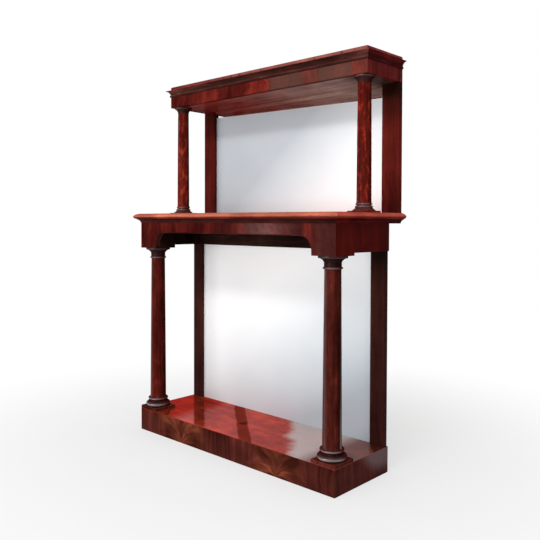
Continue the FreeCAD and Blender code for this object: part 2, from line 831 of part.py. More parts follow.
def build_apron_bead():
    """The cock bead: a thin strip bent along the apron's opening, with a rounded nose."""
    width = S["base_width"]
    body = new_body("apron_bead", -half_base, back_from_front(-S["apron_bead_stand"]), frieze_bottom)
    leg = S["foot_block_side"] - S["apron_bead_thick"]
    edge = S["foot_block_side"]
    crown = S["frieze_height"] - S["apron_depth"]
    low_crown = crown - S["apron_bead_thick"]
    spring = crown - S["arch_radius"]
    round_end = leg + S["arch_radius"]
    sketch = new_sketch(body, "Elevation", "XZ_Plane")
    outline(sketch, Line(leg, 0), Line(edge, 0), Line(edge, spring),
            Arc(round_end, low_crown, centre=(round_end, spring), left=False),
            Line(width - round_end, low_crown),
            Arc(width - edge, spring, centre=(width - round_end, spring), left=False),
            Line(width - edge, 0), Line(width - leg, 0), Line(width - leg, spring),
            Arc(width - round_end, crown, centre=(width - round_end, spring)),
            Line(round_end, crown),
            Arc(leg, spring, centre=(round_end, spring)))
    strip = pad(body, sketch, S["frieze_board"] + S["apron_bead_stand"], reverse=True)
    soften(body, strip, S["apron_bead_round"],
           lambda middle: abs(middle.y) < GAP / 10 and middle.z > GAP / 10, "Rounded_nose")


def build_middle_frieze():
    thick = S["frieze_board"]
    mitred_front("frieze_front_apron", half_base, 0, frieze_bottom, thick, S["frieze_height"],
                 apron_shape)
    build_apron_bead()
    for side, sign in SIDES:
        mitred_end(f"frieze_{side}_end", sign, half_base, 0, frieze_bottom, thick,
                   S["base_depth"], S["frieze_height"])
    rebated_rail("frieze_back_rail", half_base - thick, S["base_depth"], frieze_bottom,
                 S["frieze_height"])

    # blocks behind the apron's legs, bored for the columns
    blocks = []
    bulk = S["foot_block_side"] - thick
    centre = S["foot_block_side"] / 2
    for side, sign in SIDES:
        x = half_base - thick - bulk if sign > 0 else thick - half_base
        blank = loose_box(f"column_block_{side}_blank", x, back_from_front(thick), frieze_bottom,
                          bulk, bulk, S["frieze_height"])
        bore = doc.addObject("Part::Cylinder", f"column_block_{side}_bore")
        bind(bore, "Radius", S["tenon_radius"] + S["tenon_clearance"])
        bind(bore, "Height", S["frieze_height"])
        place(bore, (half_base - centre) * sign, back_from_front(centre), frieze_bottom)
        drilled = doc.addObject("Part::Cut", f"column_block_{side}")
        drilled.Base = blank
        drilled.Tool = bore
        blocks.append(drilled)
    group("frieze_column_blocks", blocks)

    bearers = []
    depth = lower_post_front - thick
    for side, sign in SIDES:
        x = S["bearer_offset"] * sign - S["frieze_bearer_width"] / 2
        bearers.append(loose_box(f"frieze_bearer_{side}", x, back_from_front(thick),
                                 frieze_top - S["frieze_bearer_height"],
                                 S["frieze_bearer_width"], depth, S["frieze_bearer_height"]))
    group("frieze_bearers", bearers)


# ---------------------------------------------------------------- table top

def build_table_top():
    # under-frame, its edge worked to a cove
    height = S["top_frame_thick"]
    fillet = S["cove_fillet"]
    reach = S["cove_reach"] + S["cove_lip"]
    lip_bottom = height - S["cove_lip_height"]
    back = S["top_frame_width"]
    hollow = slant_radius(S["cove_reach"] - fillet, lip_bottom - fillet, S["cove_hollow"])
    cove = (Line(back, height), Line(-reach, height), Line(-reach, lip_bottom),
            Line(-S["cove_reach"], lip_bottom), Arc(-fillet, fillet, radius=hollow, left=False),
            Line(-fillet, 0), Line(back, 0))
    moulding_frame("top_frame", half_base, as_size(0), upper_back, frieze_top, reach, back, cove)
    board("top_frame_back", back - half_base, back_from_front(upper_back - back), frieze_top,
          (half_base - back) * 2, back, height)

    # lippings with a thumb moulding
    reach = S["nosing_overhang"]
    lap = S["nosing_lap"]
    thick = S["table_board_thick"]
    swing = S["nosing_round"]
    under = S["nosing_under"]
    slope = tangent_radius(reach - S["nosing_flat"], thick - swing)
    thumb = (Line(lap, thick), Line(-S["nosing_flat"], thick),
             Arc(-reach, swing, radius=slope),
             Arc(under - reach, 0, radius=slant_radius(under, swing, S["nosing_fullness"])),
             Line(lap, 0))
    moulding_frame("top_nosing", half_base, as_size(0), upper_back, board_bottom, reach, lap, thumb)
    board("table_top_board", lap - half_base, back_from_front(lap), board_bottom,
          (half_base - lap) * 2, upper_back - lap, thick)


# ---------------------------------------------------------------- upper frieze and cornice

def build_upper_frieze():
    thick = S["upper_frieze_board"]
    height = S["upper_frieze_height"]
    depth = upper_back - upper_front
    mitred_front("upper_frieze_front", half_upper, upper_front, upper_frieze_bottom, thick, height)
    for side, sign in SIDES:
        mitred_end(f"upper_frieze_{side}", sign, half_upper, upper_front, upper_frieze_bottom,
                   thick, depth, height)
    rebated_rail("upper_frieze_back", half_upper - thick, upper_back, upper_frieze_bottom, height)
    soffit = board("soffit_board", thick - half_upper, back_from_front(upper_front + thick),
                   upper_frieze_bottom, (half_upper - thick) * 2,
                   depth - thick - S["post_thick"], S["soffit_thick"])
    bores = new_sketch(soffit, "Column_bores", "XY_Plane")
    inset = S["upper_column_inset"] - thick
    for x in (inset, (half_upper - thick) * 2 - inset):
        circle(bores, x, inset, S["upper_tenon_radius"] + S["tenon_clearance"])
    pocket_through(soffit, bores, "Bored_for_tenons")

    # a quarter-round bead under the soffit, along the top of the glass
    radius = S["soffit_bead_radius"]
    sight_line = upper_back - rebate_depth
    length = (half_upper - S["upper_post_width"]) * 2
    bead = new_body("soffit_bead", -length / 2, back_from_front(sight_line), upper_frieze_bottom)
    sketch = new_sketch(bead, "Section", "YZ_Plane")
    outline(sketch, Line(0, 0), Line(-radius, 0), Arc(0, -radius, centre=(0, 0)))
    pad(bead, sketch, length)


def build_cornice():
    height = S["cornice_height"]
    back = S["cornice_width"]
    seat = S["astragal_seat"]
    bead_top = S["astragal_height"]
    cove_bottom = bead_top + S["cornice_groove"]
    cove_top = cove_bottom + S["cornice_cove_height"]
    cove_reach = seat + S["cornice_cove_reach"]
    reach = cove_reach + S["cornice_lip"]
    hollow = slant_radius(S["cornice_cove_height"], S["cornice_cove_reach"], S["cornice_cove_hollow"])
    profile = (Line(back, height), Line(-reach, height), Line(-reach, cove_top),
               Line(-cove_reach, cove_top),
               Arc(-seat, cove_bottom, radius=hollow, left=False),
               Line(-seat + S["cornice_groove"], cove_bottom),
               Line(-seat + S["cornice_groove"], bead_top),
               Line(-seat, bead_top),
               Arc(-seat, 0, radius=swell_radius(S["astragal_height"], S["astragal_swell"])),
               Line(back, 0))
    moulding_frame("cornice", half_upper, upper_front, upper_back, upper_frieze_top,
                   reach, back, profile)
    board("cornice_back", back - half_upper, back_from_front(upper_back - back),
          upper_frieze_top, (half_upper - back) * 2, back, height)

    top = new_body("cornice_top_board", -half_upper, back_from_front(upper_front), cornice_top)
    depth = upper_back - upper_front
    sketch = new_sketch(top, "Plan", "XY_Plane")
    rectangle(sketch, 0, 0, half_upper * 2, depth)
    slab = pad(top, sketch, S["cornice_board_thick"])
    last_y = depth.value
    top_z = S["cornice_board_thick"].value
    soften(top, slab, S["cornice_board_round"],
           lambda middle: middle.z > top_z - GAP and middle.y < last_y - GAP)


# ---------------------------------------------------------------- glue blocks

def corner_blocks(name, half_width, z, height, **lines):
    """Blocks rubbed into the inner corners of a frame, along the lines given."""
    side = S["glue_block_side"]
    blocks = []
    for end, x in (("left", -half_width), ("right", half_width - side)):
        for line, y in lines.items():
            blocks.append(loose_box(f"{name}_{end}_{line}", x, back_from_front(y), z,
                                    side, side, height))
    return blocks


def build_glue_blocks():
    side = S["glue_block_side"]
    base_thick = S["base_board"]
    upper_thick = S["upper_frieze_board"]
    blocks = corner_blocks("base_block", half_base - base_thick, 0,
                           S["base_height"] - S["base_top_thick"],
                           front=base_thick, back=S["base_depth"] - base_thick - side)
    blocks += corner_blocks("frieze_block", half_base - S["frieze_board"], frieze_bottom,
                            S["frieze_height"], back=lower_post_front - side)
    blocks += corner_blocks("upper_block", half_upper - upper_thick,
                            upper_frieze_bottom + S["soffit_thick"],
                            S["upper_frieze_height"] - S["soffit_thick"],
                            back=upper_back - S["post_thick"] - side)
    group("glue_blocks", blocks)


# ---------------------------------------------------------------- the whole table

build_base()
for side, sign in SIDES:
    build_lower_column(side, sign)
screws = build_mirror_back("lower", half_base - S["lower_post_inset"], S["lower_post_width"],
                           S["base_depth"], S["base_height"], frieze_bottom)
build_middle_frieze()
build_table_top()
for side, sign in SIDES:
    build_upper_column(side, sign)
screws += build_mirror_back("upper", half_upper, S["upper_post_width"],
                            upper_back, table_height, upper_frieze_bottom)
group("wood_screws", screws)
build_upper_frieze()
build_cornice()
build_glue_blocks()

# ---------------------------------------------------------------- checks and files

doc.recompute()
for thing in doc.Objects:
    if "Invalid" in thing.State or "Error" in thing.State:
        raise RuntimeError(f"{thing.Label} failed: {thing.State}")
for node in nodes:
    if node.Shape.isNull() or not node.Shape.isValid():
        raise RuntimeError(f"{node.Label} has no valid shape")

whole = FreeCAD.BoundBox()
for node in nodes:
    whole.add(node.Shape.BoundBox)
print(f"{len(nodes)} sub-parts, {whole.XLength:.1f} x {whole.YLength:.1f} x {whole.ZLength:.1f} mm")

os.makedirs("parts", exist_ok=True)
for node in nodes:
    node.Shape.exportStep(f"parts/{node.Label}.step")
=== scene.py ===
# %% [markdown]
# # A pier table in flame mahogany
# A pier table stands against the wall between two windows. This one has two stages. A base
# carries two turned columns and a table top, and two smaller columns stand on that under a
# cornice. Each stage has a mirror behind it. All shapes come from the frame, so this lesson is
# about surfaces: veneers and their figure, French polish, ebonised turnings and old silvering.
# The frame's measure is taken now, and again at the end, to show that nothing was moved.

# %%
import math

import bpy
from mathutils import Matrix, Vector


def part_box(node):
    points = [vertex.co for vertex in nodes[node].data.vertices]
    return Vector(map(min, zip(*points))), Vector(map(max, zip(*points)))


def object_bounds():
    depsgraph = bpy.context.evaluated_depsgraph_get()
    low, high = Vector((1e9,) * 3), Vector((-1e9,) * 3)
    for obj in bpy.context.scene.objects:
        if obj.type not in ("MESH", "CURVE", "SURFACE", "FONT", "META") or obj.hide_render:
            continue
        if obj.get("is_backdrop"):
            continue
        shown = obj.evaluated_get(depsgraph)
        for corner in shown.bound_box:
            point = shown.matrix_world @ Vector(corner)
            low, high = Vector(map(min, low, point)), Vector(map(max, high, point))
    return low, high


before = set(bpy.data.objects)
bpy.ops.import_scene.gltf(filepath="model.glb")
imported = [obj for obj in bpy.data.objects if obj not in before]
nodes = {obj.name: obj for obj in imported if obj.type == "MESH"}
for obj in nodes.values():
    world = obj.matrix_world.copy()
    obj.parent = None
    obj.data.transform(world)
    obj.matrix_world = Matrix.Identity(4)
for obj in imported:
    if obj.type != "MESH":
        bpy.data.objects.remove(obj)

cad_low, cad_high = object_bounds()
print("sub-parts:", len(nodes), "size:", [round(v, 3) for v in cad_high - cad_low])

# %% [markdown]
# ## The camera
# The table is seen from the front right, from a little under the height of its top. A tall piece
# could be fitted in by tilting the camera, but then its posts would lean. Here it is turned down
# by hardly more than a degree, and a small shift of the lens puts the table in the middle.

# %%
AZIMUTH = math.radians(42.665)
PITCH = math.radians(1.319)
ROLL = math.radians(0.186)
FOCAL_LENGTH = 43.52
CAMERA_PLACE = Vector((1.7455, -1.7916, 0.8659))
SHIFT = (-0.0109, -0.0605)


def make_camera():
    """The camera, turned by azimuth, pitch and roll."""
    data = bpy.data.cameras.new("camera")
    data.lens = FOCAL_LENGTH
    data.shift_x, data.shift_y = SHIFT
    camera = bpy.data.objects.new("camera", data)
    bpy.context.scene.collection.objects.link(camera)
    ahead = Vector((-math.sin(AZIMUTH) * math.cos(PITCH),
                    math.cos(AZIMUTH) * math.cos(PITCH), -math.sin(PITCH)))
    level = Vector((math.cos(AZIMUTH), math.sin(AZIMUTH), 0))
    upright = level.cross(ahead)
    right = level * math.cos(ROLL) + upright * math.sin(ROLL)
    up = upright * math.cos(ROLL) - level * math.sin(ROLL)
    turn = Matrix((right, up, -ahead)).transposed().to_4x4()
    camera.matrix_world = Matrix.Translation(CAMERA_PLACE) @ turn
    bpy.context.scene.camera = camera


make_camera()
print("camera at", [round(v, 3) for v in CAMERA_PLACE])

# %% [markdown]
# ## A small language for materials
# Wood is worked out with nodes, and a veneer needs from sixty to three hundred of them. Linked one
# by one they are hard to read. So one small class wraps a socket, and a sum on it adds a Math
# node. Then the figure of a veneer reads like the formula it is.

# %%
class Value:
    """A socket of a node tree. Sums on it add Math nodes."""

    def __init__(self, graph, socket):
        self.graph = graph
        self.socket = socket

    def math(self, operation, *others):
        return self.graph.node("ShaderNodeMath", {"operation": operation}, [self, *others])

    def __add__(self, other):
        return self.math("ADD", other)

    def __sub__(self, other):
        return self.math("SUBTRACT", other)

    def __rsub__(self, other):
        return (self * -1) + other

    def __mul__(self, other):
        return self.math("MULTIPLY", other)

    def __pow__(self, other):
        return self.math("POWER", other)

    def __abs__(self):
        return self.math("ABSOLUTE")

    def least(self, other):
        return self.math("MINIMUM", other)

    def most(self, other):
        return self.math("MAXIMUM", other)


print("sums on sockets ready")

# %% [markdown]
# Every other node comes from one method of a second class, which stands for a tree of nodes. It
# could be written out for each kind of node, but all kinds need the same three things: a kind,
# some settings, and what goes into the sockets.

# %%
class Graph:
    """A tree of nodes under construction."""

    def __init__(self, tree):
        self.tree = tree

    def feed(self, socket, value):
        """Links a value to a socket, or sets it there."""
        if isinstance(value, Value):
            self.tree.links.new(value.socket, socket)
        elif isinstance(value, tuple) and len(socket.default_value) > len(value):
            socket.default_value = (*value, 1)
        else:
            socket.default_value = value

    def node(self, kind, settings, inputs, output=0):
        """Any node: its kind, its settings, and what its sockets get, by place or by name.

        Several outputs, asked for in a tuple, come back in a list.
        """
        made = self.tree.nodes.new(kind)
        for name, setting in settings.items():
            if name == "stops":
                set_stops(made.color_ramp, setting)
            else:
                setattr(made, name, setting)
        pairs = inputs.items() if isinstance(inputs, dict) else enumerate(inputs)
        for name, value in pairs:
            self.feed(made.inputs[name], value)
        if isinstance(output, tuple):
            return [Value(self, made.outputs[each]) for each in output]
        return Value(self, made.outputs[output])


def set_stops(ramp, stops):
    """Gives a colour ramp its stops."""
    while len(ramp.elements) < len(stops):
        ramp.elements.new(1.0)
    for element, (place, colour) in zip(ramp.elements, stops):
        element.position = place
        element.color = (*colour, 1)


print("trees of nodes ready")

# %% [markdown]
# A third class stands for a whole finish: the tree of a material, with its noises, ramps and
# reliefs at hand. Its places are object coordinates. The sub-parts lie at the origin in metres, so
# a place in the material is a place on the table, and figure can run on from one board to the
# next.

# %%
class Finish(Graph):
    """A material under construction, on the Principled shader."""

    def __init__(self, name, **constants):
        self.material = bpy.data.materials.new(name)
        self.material.use_nodes = True
        super().__init__(self.material.node_tree)
        self.shader = self.tree.nodes["Principled BSDF"]
        self.surface(**constants)
        place = self.node("ShaderNodeTexCoord", {}, [], "Object")
        self.x, self.y, self.z = self.node("ShaderNodeSeparateXYZ", {}, [place], (0, 1, 2))
        self.axes = {"x": self.x, "y": self.y, "z": self.z}

    def surface(self, **inputs):
        """Feeds the shader."""
        for socket, value in inputs.items():
            self.feed(self.shader.inputs[socket.replace("_", " ")], value)
        return self.material

    def noise(self, x, y, z=0.0, detail=2.0, roughness=0.5):
        """Soft noise about one half, with one lump to a unit."""
        place = self.node("ShaderNodeCombineXYZ", {}, [x, y, z])
        inputs = {"Vector": place, "Scale": 1.0, "Detail": detail, "Roughness": roughness}
        return self.node("ShaderNodeTexNoise", {}, inputs, "Fac")

    def rise(self, value, low, high, start=0.0, end=1.0):
        """Goes smoothly from start to end while the value goes from low to high."""
        return self.node("ShaderNodeMapRange", {"interpolation_type": "SMOOTHSTEP"},
                         [value, low, high, start, end])

    def spot(self, value, centre, half, soft):
        """1 at the centre and 0 further off than half, with an edge as soft as asked."""
        return self.rise(abs(value - centre), half * (1 - soft), half, 1.0, 0.0)

    def mix(self, factor, first, second):
        """A mix of two colours."""
        settings = {"data_type": "RGBA", "clamp_factor": True}
        return self.node("ShaderNodeMix", settings, {0: factor, 6: first, 7: second}, 2)

    def ramp(self, value, stops):
        """A colour for each value, between the stops."""
        return self.node("ShaderNodeValToRGB", {"stops": stops}, [value])

    def course(self, place, *stops):
        """A number that changes along a board. Stops are places in metres, with numbers."""
        first, last = stops[0][0], stops[-1][0]
        along = (place - first) * (1 / (last - first))
        greys = [((at - first) / (last - first), (number,) * 3) for at, number in stops]
        grey_to_number = 1.0
        return self.ramp(along, greys) * grey_to_number

    def bump(self, value, depth):
        """A relief of the depth given, in metres."""
        inputs = {"Strength": 1.0, "Distance": depth, "Height": value}
        return self.node("ShaderNodeBump", {}, inputs)


def dress(material, name):
    """Gives a CAD sub-part its material."""
    mesh = nodes[name].data
    mesh.materials.clear()
    mesh.materials.append(material)


print("finishes ready")

# %% [markdown]
# ## The figure of mahogany
# Cut veneer shows several things at once: pores along the grain, fine threads, stripes where the
# growth rings come up, and clouds where the grain dips in and out of the surface. One noise can't
# show them all. So each is a noise of its own, stretched along the grain by its own amount. Their
# sum is a tone about one half, and the grain wanders a little, as it does in a tree.

# %%
FLAME_BEND = 5.0


def grain(finish, across, along, seed, stripe=75.0, cloud=7.0):
    """The tone of plain veneer, from the ways across and along its grain, in metres."""
    across = across + finish.noise(across * 9, along * 9, seed + 29) * 0.045
    threads = finish.noise(across * 300, along * 6, seed)
    stripes = finish.noise(across * stripe, along * 2.5, seed + 5, 3.0, 0.55)
    bands = finish.noise(across * stripe * 0.3, along * 1.6, seed + 11)
    clouds = finish.noise(across * cloud, along * cloud, seed + 17)
    return threads * 0.3 + stripes * 0.8 + bands * 0.9 + clouds * 0.9 - 0.95


def pores(finish, across, along, seed):
    """Short dark pits along the grain: 1 in a pit."""
    dots = finish.noise(across * 1100, along * 60, seed + 23, 1.0)
    return finish.rise(dots, 0.58, 0.70)


def flame(finish, across, up, root, seed):
    """The tone of crotch veneer over the root of a flame, which is a place across and up."""
    aside = abs(across - root[0])
    above = (up - root[1]).most(0.001)
    reach = (aside * aside + above * above) ** 0.5
    turn = aside.math("ARCTAN2", above)
    feather = (turn - reach * FLAME_BEND) * 0.07
    streaks = finish.noise(feather * 60, reach * 14, seed)
    plumes = finish.noise(feather * 18, reach * 9, seed + 9)
    stem = finish.spot(turn, 0.0, 0.5, 1.0)
    return streaks * 0.8 + plumes * 1.6 + stem * 0.06 - 0.70


print("figure: grain, pores and flames")

# %% [markdown]
# A ramp turns the tone into colour. Mahogany goes from a brown that is nearly black to an orange
# red, and its brightest threads are warmer as well as lighter. So a board's colours are worked
# out from its middle colour, and each board needs just one. A small spread keeps them together.

# %%
def shades(red, green, blue, spread=1.0):
    """Ramp stops about a middle colour, from deep shadow to bright threads."""
    steps = ((0.18, 0.40, 0.9), (0.42, 0.80, 1.0), (0.60, 1.22, 1.0), (0.88, 2.30, 1.15))
    return [(tone, (red * much ** spread, green * much ** spread * warm, blue * much ** spread))
            for tone, much, warm in steps]


PORE_AND_SHADE_DARK = (0.012, 0.004, 0.003)
CRIMSON = (0.085, 0.0082, 0.0058)
BLOOD = (0.075, 0.0045, 0.0034)
RUSSET = (0.073, 0.0142, 0.0100)
UMBER = (0.096, 0.0205, 0.0112)
PLUM = (0.080, 0.0170, 0.0130)
BRICK = (0.110, 0.0110, 0.0075)
GLOWING = (0.385, 0.0480, 0.0220)
SALMON = (0.520, 0.1420, 0.0840)
DUSKY = (0.040, 0.0090, 0.0075)
SOMBRE = (0.046, 0.0120, 0.0090)
# INSIDE is painted shade: nearly black, for wood inside and under the table.
INSIDE = (0.014, 0.0050, 0.0040)
print("middle colours ready")

# %% [markdown]
# ## French polish
# Shellac is laid over the stained wood in many thin coats. On an old piece it has sunk into the
# pores and is rubbed off the corners, where a paler wood shows; the paler arrises are also a
# painted highlight along each edge. A thick clear coat would throw a white veil over wood as dark
# as this, so the coat is thin and the shine comes from strong lamps. Wear and painted highlight
# follow the box
# of a board: close to two of its faces at once means on an arris.

# %%
PORE_DEPTH = 0.00005


def arris(finish, name, width):
    """1 on the arrises of a board, and 0 further in."""
    low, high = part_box(name)
    reaches = [(place - least).least(most - place)
               for place, least, most in zip((finish.x, finish.y, finish.z), low, high)]
    one, two, three = reaches
    middle = one.least(two).most(one.most(two).least(three))
    ragged = finish.noise(finish.x * 60, finish.y * 60, finish.z * 60) * width
    return finish.rise(middle + ragged, width * 0.4, width * 1.4, 1.0, 0.0)


def new_wood(name):
    return Finish(name + "_veneer", Coat_Roughness=0.08, Coat_IOR=1.5, Specular_IOR_Level=0.0)


def polish(finish, colour, pits, coat=0.03):
    """French polish over stained wood, with the pores left open."""
    colour = finish.mix(pits * 0.5, colour, PORE_AND_SHADE_DARK)
    smears = finish.noise(finish.x * 13, finish.y * 13, finish.z * 9, 3.0, 0.6)
    return finish.surface(Base_Color=colour, Roughness=smears * 0.3 + 0.2,
                          Coat_Weight=(1.3 - smears * 0.6) * coat,
                          Normal=finish.bump(1 - pits, PORE_DEPTH))


def veneer(name, colour, across, along, seed, wear_and_highlight=0.0, spread=1.0):
    """Straight-grained veneer on one board. The axes are named by their letters."""
    finish = new_wood(name)
    over, up = finish.axes[across], finish.axes[along]
    stops = shades(*colour, spread)
    brightest = stops[-1][1]
    painted = finish.ramp(grain(finish, over, up, seed), stops)
    # Pale arrises: wear, and a painted highlight along them.
    if wear_and_highlight:
        painted = finish.mix(arris(finish, name, wear_and_highlight) * 0.6, painted, brightest)
    dress(polish(finish, painted, pores(finish, over, up, seed)), name)


print("polish ready")

# %% [markdown]
# ## The base
# The front of the base is the showpiece. Two flames of crotch veneer stand in it, cut where a
# limb leaves the trunk, and striped veneer lies between and beside them. A flame rises from a
# root at its foot, and its feathers part to both sides of a stem. A picture could be laid on, but
# the figure is drawn from its law instead: the grain runs along rays from the root that bend
# outwards, and one half mirrors the other. The flames are browner than the stripes, so each has a
# ramp of its own. At the right-hand end a pale painted sheen lies towards the back: a painted
# reflection.

# %%
BASE_FLAMES = ((-0.248, -0.012, 0.165), (0.259, 0.004, 0.150))
BASE_LIFT = ((-0.51, 0.52), (-0.44, 0.60), (-0.40, 0.50), (-0.20, 0.60), (-0.08, 0.44),
             (0.02, 0.50), (0.12, 0.58), (0.27, 0.62), (0.34, 0.26), (0.43, 0.42), (0.51, 0.38))
END_PAINTED_SHEEN = (0.180, 0.112, 0.116)
HALF_WIDTH = float(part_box("frieze_right_end")[1][0])


def base_figure(finish, seed):
    """The tone of two flames between plain stripes, and how much of it is flame."""
    sway = (finish.noise(finish.x * 18, finish.z * 30, seed) - 0.5) * 0.09
    tone = grain(finish, finish.x, finish.z, seed)
    inside = []
    for foot, level, reach in BASE_FLAMES:
        plume = flame(finish, finish.x + sway * 0.25, finish.z, (foot, level), seed + foot)
        inside.append(finish.spot(finish.x + sway, foot, reach, 0.5))
        tone = tone + (plume - tone) * inside[-1]
    lift = finish.course(finish.x, *BASE_LIFT) - 0.5
    return tone + lift * 0.8, inside[0] + inside[1]


def on_ends(finish):
    """1 on the outer faces of the base's and the frieze's ends, and 0 further in."""
    return finish.rise(abs(finish.x), HALF_WIDTH - 0.0008, HALF_WIDTH - 0.0002)


def base_skin(finish):
    """The colour of the base's upright faces: flames in front, plain veneer at the ends."""
    tone, flames = base_figure(finish, 1.0)
    front = finish.mix(flames, finish.ramp(tone, shades(*RUSSET, 0.9)),
                       finish.ramp(tone, shades(*UMBER)))
    side = finish.ramp(grain(finish, finish.y, finish.z, 6.0, 40.0), shades(*PLUM, 0.7))
    # Painted reflection: a pale sheen over the upper back of each end.
    painted_sheen = finish.rise(finish.y + finish.z * 1.2, 0.045, 0.125)
    side = finish.mix(painted_sheen * finish.rise(finish.z, 0.0, 0.06) * 0.9, side, END_PAINTED_SHEEN)
    return finish.mix(on_ends(finish), front, side)


for name in ("base_front_board", "base_left_end", "base_right_end"):
    board = new_wood(name)
    dress(polish(board, base_skin(board), pores(board, board.x + board.y, board.z, 1.0)), name)
print("base veneered, half its width:", round(HALF_WIDTH, 3))

# %% [markdown]
# The board on top of the base is the brightest wood of all, laid lengthwise. Seen at a low angle
# its fibres throw back what stands behind it in a deep red, as satin does. A clear coat would only
# throw back white, so part of the Metallic look does this. Four marks lie on it. A dark bar runs
# aslant over its middle, a painted reflection of the left column, with a round knot beside it. To
# the right a pale patch with a ragged edge is a painted reflection, and the corner behind that is
# painted dark as the shade of the right rear post. The board's edge shows the figure of the front,
# which runs on over it.

# %%
BASE_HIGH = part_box("base_top_board")[1]
BASE_WARMTH = ((-0.51, 0.36), (-0.36, 0.40), (-0.24, 0.50), (-0.14, 0.60), (-0.04, 0.60),
               (0.10, 0.53), (0.51, 0.50))
TO_FAR_RIGHT = (0.735, 0.678)
BAR_PLACE = -0.087
BAR_COLOUR = (0.120, 0.0180, 0.0070)
KNOT = (-0.040, -0.036)
KNOT_COLOUR = (0.030, 0.0050, 0.0035)
REFLECTION_PATCH_LEFT = (0.60, 0.53, 0.51)
REFLECTION_PATCH_RIGHT = (0.120, 0.060, 0.046)
POST_SHADE_COLOUR = (0.060, 0.0080, 0.0060)
WORN_AND_LIT_RED = (0.26, 0.060, 0.030)
SATIN_RED = (1.0, 0.10, 0.05)
FILLED_PORE_DEPTH = 0.00003


def base_marks(finish, smears):
    """The painted dark bar, the knot, the painted pale reflection and the painted post shade: 1
    where they lie.
    """
    wander = (smears - 0.5) * 0.02
    # Painted reflection: the dark bar stands for the left column, reflected in the board.
    bar = finish.spot(finish.x + finish.y * 1.13 + wander, BAR_PLACE, 0.036, 0.2)
    reach = ((finish.x - KNOT[0]) ** 2 + (finish.y - KNOT[1]) ** 2) ** 0.5
    knot = finish.rise(reach + wander, 0.010, 0.026, 1.0, 0.0)
    slant = finish.x + (finish.y - BASE_HIGH[1]) * 0.856 + (smears - 0.5) * 0.12
    # Painted reflection: a pale patch on the right of the board.
    pale_reflection = finish.rise(slant, 0.03, 0.10)
    far_right = finish.x * TO_FAR_RIGHT[0] + finish.y * TO_FAR_RIGHT[1]
    # Painted shade: the corner behind the right rear post is darkened.
    corner = finish.rise(far_right, 0.397, 0.404)
    return bar, knot, pale_reflection, corner


def base_top(name, seed):
    finish = Finish(name + "_veneer", Coat_Roughness=0.05, Coat_IOR=1.5, Specular_IOR_Level=0.0,
                    Specular_Tint=SATIN_RED)
    is_edge = finish.rise(finish.z, BASE_HIGH[2] - 0.0012, BASE_HIGH[2] - 0.0006, 1.0, 0.0)
    tone = grain(finish, finish.y, finish.x, seed, 45.0, 9.0)
    embers = finish.noise(finish.x * 12, finish.y * 22, 5.0, 1.0)
    tone = tone + (embers - 0.5) * 0.5 + finish.course(finish.x, *BASE_WARMTH) - 0.5
    top = finish.ramp(tone, shades(*GLOWING, 0.75))

    smears = finish.noise(finish.x * 8, finish.y * 8, 0.0, 3.0, 0.6)
    bar, knot, pale_reflection, corner = base_marks(finish, smears)
    pale_reflection = pale_reflection * (1 - is_edge)
    right_end = finish.rise(finish.x, 0.33, 0.42)
    top = finish.mix(bar * 0.72, top, BAR_COLOUR)
    top = finish.mix(knot * 0.85, top, KNOT_COLOUR)
    top = finish.mix(pale_reflection * (0.78 - right_end * 0.1), top,
                     finish.mix(right_end, REFLECTION_PATCH_LEFT, REFLECTION_PATCH_RIGHT))
    top = finish.mix(corner * 0.85, top, POST_SHADE_COLOUR)

    pits = pores(finish, finish.y, finish.x, seed)
    colour = finish.mix(pits * 0.35, finish.mix(is_edge, top, base_skin(finish)), PORE_AND_SHADE_DARK)
    # Pale arrises: wear, and a painted highlight along them.
    worn_and_lit = arris(finish, name, 0.0016) * (1 - is_edge) * 0.6
    satin = (1 - is_edge) * (1 - pale_reflection)
    shine = finish.rise(finish.x, -0.34, -0.24, 0.04, 0.36) * (1 - is_edge) * (1 - bar * 0.85)
    dress(finish.surface(Base_Color=finish.mix(worn_and_lit, colour, WORN_AND_LIT_RED),
                         Roughness=smears * 0.16 + 0.08,
                         Coat_Weight=(pale_reflection * 0.25 + shine) * (1 - corner * 0.9),
                         Metallic=satin * (0.5 - bar * 0.25),
                         Normal=finish.bump(1 - pits, FILLED_PORE_DEPTH)), name)


base_top("base_top_board", 3.0)
print("base top: knot at", KNOT)

# %% [markdown]
# ## The frieze under the table top
# The frieze is veneered with its grain upright, in pieces of varied brightness: fiery at both
# ends, quiet in the middle. Its figure runs down over the square plates on the columns, with
# hardly a joint to see. So both take the same finish, which shows the front's figure on front
# faces and the ends' figure on side faces. The brightness along the front is a course of numbers.
# A second course says how much of a pale painted sheen, a painted reflection, lies over the
# polish, and noise breaks it up.

# %%
FRIEZE_LIFT = ((-0.51, 0.33), (-0.47, 0.44), (-0.38, 0.52), (-0.31, 0.38), (-0.26, 0.32),
               (-0.13, 0.26), (-0.09, 0.42), (-0.06, 0.26), (0.03, 0.32), (0.12, 0.30),
               (0.21, 0.42), (0.29, 0.20), (0.365, 0.22), (0.385, 0.58), (0.405, 0.50),
               (0.42, 0.26), (0.51, 0.22))
FRIEZE_PAINTED_SHEEN = ((-0.10, 0.0), (0.04, 0.04), (0.12, 0.26), (0.21, 0.56), (0.29, 0.22),
                (0.37, 0.04), (0.41, 0.04), (0.43, 0.12), (0.51, 0.09))
PAINTED_SHEEN_COLOUR = (0.185, 0.087, 0.076)
FRONT_LINE = float(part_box("frieze_front_apron")[0][1])


